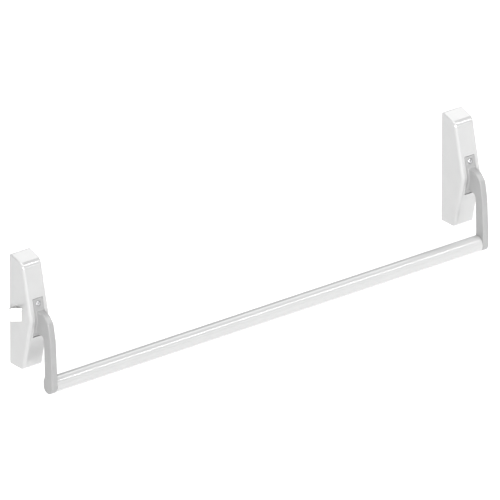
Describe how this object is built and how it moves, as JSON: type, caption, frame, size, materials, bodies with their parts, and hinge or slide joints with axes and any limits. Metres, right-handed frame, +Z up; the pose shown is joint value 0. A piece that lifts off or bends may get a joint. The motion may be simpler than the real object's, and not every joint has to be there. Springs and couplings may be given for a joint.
{
  "type": "panic exit bar",
  "caption": "Push bar for an emergency exit door: a round crossbar on hinged arms between two slim kinked cases, one with a bevelled side latch bolt.",
  "frame": {"origin": "middle of the back face of the active base plate, on the door face", "axes": "+X along the crossbar from the active (latch) case to the idle case, +Y out of the back of the device into the door, +Z up"},
  "size_m": [1.0257, 0.1013, 0.2458],
  "materials": {
    "case_paint": "white powder coat, satin with a fine orange-peel texture",
    "arm_paint": "light grey paint on a casting, satin",
    "tube_paint": "smooth white paint, semi-gloss",
    "nickel_bolt": "bright nickel plating",
    "zinc_steel": "zinc-plated pressed steel",
    "hard_steel": "turned steel, bright",
    "spring_steel": "drawn spring wire"
  },
  "bodies": {
    "root": {"active_base_plate": "zinc_steel", "active_pivot_bracket": "zinc_steel", "active_cover": "case_paint", "active_cover_screw": "hard_steel", "active_pivot_pin": "hard_steel", "active_pin_clip": "spring_steel", "active_return_spring": "spring_steel", "idle_base_plate": "zinc_steel", "idle_pivot_bracket": "zinc_steel", "idle_cover": "case_paint", "idle_cover_screw": "hard_steel", "idle_pivot_pin": "hard_steel", "idle_pin_clip": "spring_steel", "idle_return_spring": "spring_steel", "bolt_guide": "zinc_steel", "bolt_spring": "spring_steel", "crank_bracket": "zinc_steel", "crank_post": "hard_steel"},
    "bar": {"active_arm": "arm_paint", "active_carrier": "zinc_steel", "active_arm_screw": "hard_steel", "active_grub_screw": "hard_steel", "idle_arm": "arm_paint", "idle_carrier": "zinc_steel", "idle_arm_screw": "hard_steel", "idle_grub_screw": "hard_steel", "crossbar_tube": "tube_paint"},
    "crank_lever": {"crank": "zinc_steel"},
    "latch": {"latch_bolt": "nickel_bolt"}
  },
  "joints": [
    {"name": "bar_push", "type": "hinge", "parent": "root", "child": "bar", "pos_m": [0, -0.041, 0.008], "axis": [1, 0, 0], "range_deg": [0, 18], "stiffness_Nm_per_rad": 6, "springref_deg": -17.19, "deforming": ["active_return_spring", "idle_return_spring"]},
    {"name": "crank_turn", "type": "hinge", "parent": "root", "child": "crank_lever", "pos_m": [-0.002, -0.0116, -0.018], "axis": [0, 0, 1], "range_deg": [0, 43]},
    {"name": "bolt_slide", "type": "slide", "parent": "root", "child": "latch", "axis": [1, 0, 0], "range_m": [0, 0.016], "deforming": ["bolt_spring"]}
  ],
  "couplings": [
    {"joint": "crank_turn", "follows": "bar_push", "ratio": 2.3333},
    {"joint": "bolt_slide", "follows": "bar_push", "m_per_rad": 0.04997}
  ]
}
